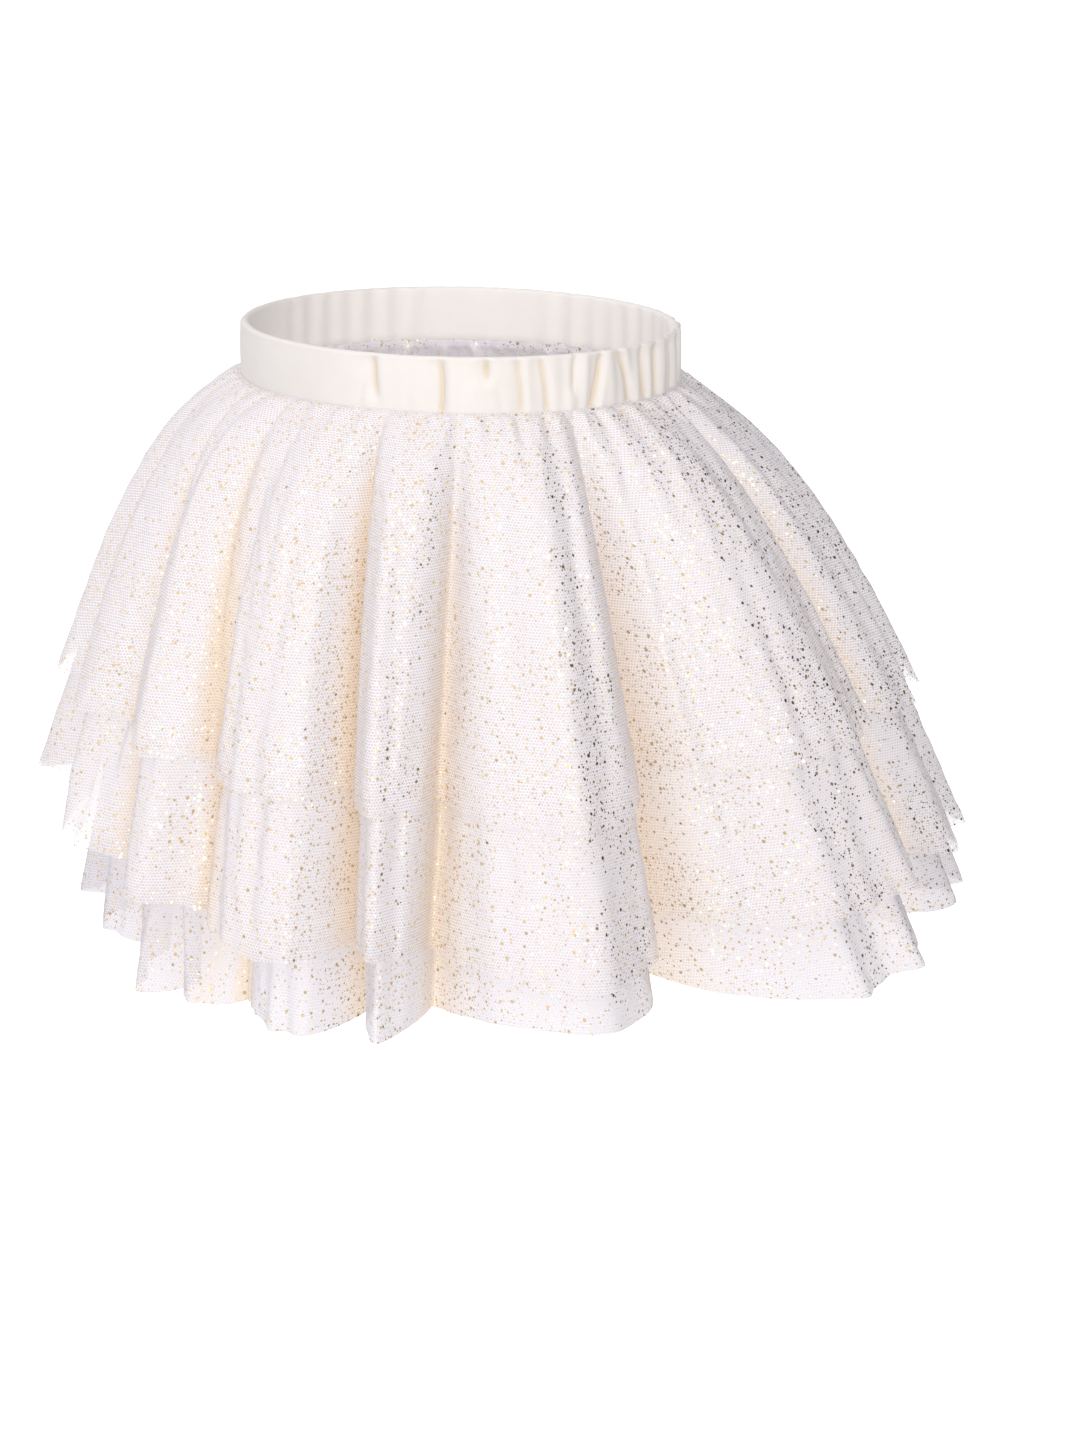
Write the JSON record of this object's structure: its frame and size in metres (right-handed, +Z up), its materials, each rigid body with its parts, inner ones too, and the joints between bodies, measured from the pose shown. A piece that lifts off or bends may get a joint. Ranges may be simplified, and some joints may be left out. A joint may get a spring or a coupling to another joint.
{
  "type": "tulle skirt",
  "caption": "Child's pull-on tulle skirt in its worn shape: a gathered waistband over three tiers of gathered net, open at waist and hem.",
  "frame": {"origin": "middle of the waist opening, half way up the waistband, where the wearer holds the skirt up", "axes": "+Z up along the waist's axis, -Y to the front, +X to the wearer's left side"},
  "size_m": [0.356, 0.3745, 0.2521],
  "materials": {
    "band_knit": "matte ivory stretch knit, gathered over elastic",
    "tier_net": "white nylon net with fine gold foil dots"
  },
  "bodies": {
    "root": {"waistband": "band_knit", "outer_tier_front": "tier_net", "outer_tier_back": "tier_net", "middle_tier_front": "tier_net", "middle_tier_back": "tier_net", "inner_tier_front": "tier_net", "inner_tier_back": "tier_net"}
  },
  "joints": []
}
